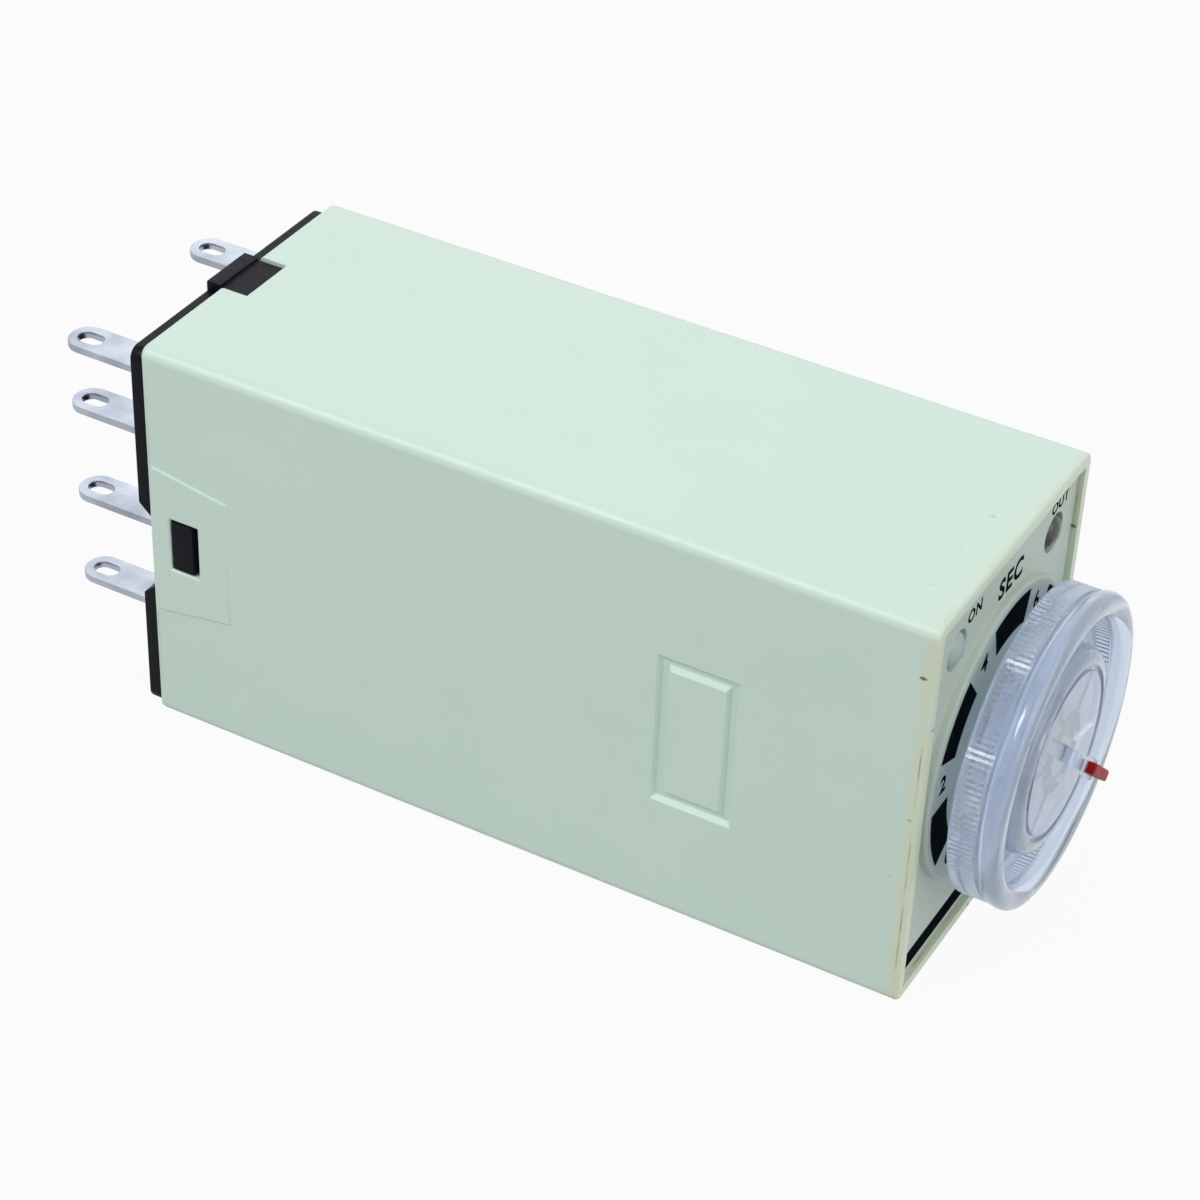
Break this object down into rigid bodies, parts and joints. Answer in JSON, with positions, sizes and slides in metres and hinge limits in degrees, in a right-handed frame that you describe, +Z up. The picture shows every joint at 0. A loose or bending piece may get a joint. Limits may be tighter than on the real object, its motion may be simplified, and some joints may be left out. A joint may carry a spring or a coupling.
{
  "type": "timer relay",
  "caption": "Miniature plug-in timer relay: pale box housing with a clear setting dial on the front, flat plug blades at the rear and a relay and timer boards inside.",
  "frame": {"origin": "on the bottom face, under the middle of the overall length and width", "axes": "+X along the length towards the dial, +Y across the width, +Z up"},
  "size_m": [0.0674, 0.0218, 0.028],
  "materials": {
    "housing_plastic": "moulded plastic, fine satin, pale mint cream",
    "base_plastic": "moulded black thermoset, satin",
    "blade_metal": "brass strip, tin plated",
    "plate_plastic": "moulded plastic, satin, printed",
    "clear_plastic": "clear moulded plastic, glossy",
    "red_plastic": "red moulded insert",
    "power_lens": "tinted lamp resin, pale green",
    "output_lens": "tinted lamp resin, dark",
    "pot_plastic": "moulded dark plastic",
    "rotor_plastic": "moulded white plastic",
    "phenolic": "brown laminate",
    "board_laminate": "glass laminate with green mask",
    "pin_metal": "tinned square wire",
    "capacitor_sleeve": "shrunk sleeve on an aluminium can",
    "film_case": "dipped resin",
    "chip_epoxy": "black moulding compound",
    "resistor_lacquer": "tan lacquer",
    "soft_iron": "zinc plated soft iron",
    "bobbin_plastic": "moulded dark plastic",
    "coil_copper": "enamelled copper wire",
    "carrier_plastic": "moulded brown plastic",
    "spring_bronze": "rolled bronze strip",
    "contact_silver": "silver alloy discs",
    "lead_copper": "braided copper",
    "wire_insulation": "insulated stranded wire"
  },
  "bodies": {
    "case": {"base": "base_plastic", "bobbin": "bobbin_plastic", "closed_terminal_left": "blade_metal", "closed_terminal_right": "blade_metal", "coil_pins": "pin_metal", "coil_terminal_left": "blade_metal", "coil_terminal_right": "blade_metal", "coil_winding": "coil_copper", "common_leads": "lead_copper", "common_terminal_left": "blade_metal", "common_terminal_right": "blade_metal", "core": "soft_iron", "driver_transistor": "chip_epoxy", "filter_capacitor": "capacitor_sleeve", "fixed_contacts": "contact_silver", "front_board": "board_laminate", "front_plate": "plate_plastic", "hinge_spring": "spring_bronze", "housing": "housing_plastic", "link_pins": "pin_metal", "open_terminal_left": "blade_metal", "open_terminal_right": "blade_metal", "output_led": "output_lens", "pot_case": "pot_plastic", "pot_wafer": "phenolic", "power_led": "power_lens", "rectifier_diodes": "chip_epoxy", "resistors": "resistor_lacquer", "supply_wires": "wire_insulation", "timer_board": "board_laminate", "timer_chip": "chip_epoxy", "timing_capacitor": "film_case", "yoke": "soft_iron"},
    "setting_dial": {"dial": "clear_plastic", "pointer": "red_plastic", "pot_rotor": "rotor_plastic", "pot_wiper": "spring_bronze"},
    "armature_assembly": {"armature": "soft_iron", "contact_carrier": "carrier_plastic", "moving_spring_left": "spring_bronze", "moving_spring_right": "spring_bronze", "moving_contacts": "contact_silver"}
  },
  "joints": [
    {"name": "dial_turn", "type": "hinge", "parent": "case", "child": "setting_dial", "pos_m": [0.03072, 0, 0.01405], "axis": [1, 0, 0], "range_deg": [-3, 267]},
    {"name": "armature_tilt", "type": "hinge", "parent": "case", "child": "armature_assembly", "pos_m": [-0.00857, 0, 0.0168], "axis": [0, -1, 0], "range_deg": [0, 3.6], "stiffness_Nm_per_rad": 0.05, "springref_deg": -3.44, "deforming": ["hinge_spring", "common_leads"]}
  ]
}
